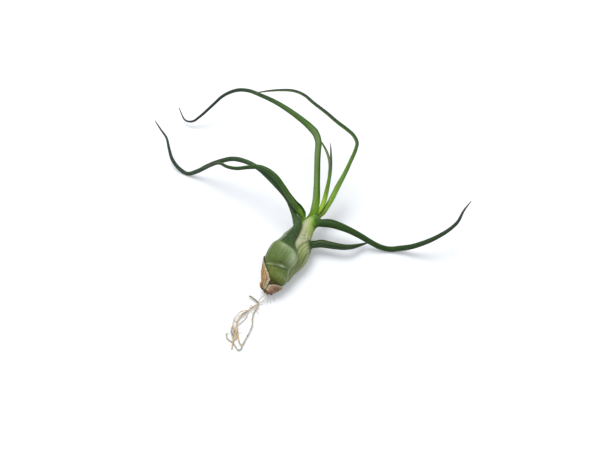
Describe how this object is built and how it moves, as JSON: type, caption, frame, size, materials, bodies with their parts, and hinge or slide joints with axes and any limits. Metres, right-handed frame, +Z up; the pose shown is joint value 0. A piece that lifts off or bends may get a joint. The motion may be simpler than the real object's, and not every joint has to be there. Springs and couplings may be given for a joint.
{
  "type": "bulbosa air plant",
  "caption": "Small bulb-based air plant lying on its side: an onion-shaped bulb of wrapped leaf sheaths, long twisting tapered leaves, papery scales and a tuft of wiry roots.",
  "frame": {"origin": "the flat spot under the bulb's belly, on the surface the plant lies on", "axes": "+Z up from the surface, -Y towards the roots, +X to the side of the long right leaf"},
  "size_m": [0.1898, 0.1647, 0.0478],
  "materials": {
    "dark_leaf": "satin, dark green with a silvery bloom on the bulb",
    "pale_sheath_leaf": "satin, dark green blade above a pale beige-green sheath",
    "mid_leaf": "satin, mid green with a lighter middle stripe",
    "young_leaf": "satin, yellow-green turning dark towards the tip",
    "dry_scale": "matt, dry and papery",
    "reddish_scale": "matt, dry and papery",
    "stem": "matt, dry",
    "root": "matt, dry"
  },
  "bodies": {
    "root": {"leaf_front": "dark_leaf", "leaf_lower_right": "pale_sheath_leaf", "leaf_right": "pale_sheath_leaf", "leaf_left": "dark_leaf", "leaf_long": "mid_leaf", "leaf_kinked": "young_leaf", "leaf_young_straight": "young_leaf", "leaf_young_curved": "young_leaf", "scale_left": "dry_scale", "scale_right": "reddish_scale", "stem": "stem", "roots": "root"}
  },
  "joints": []
}
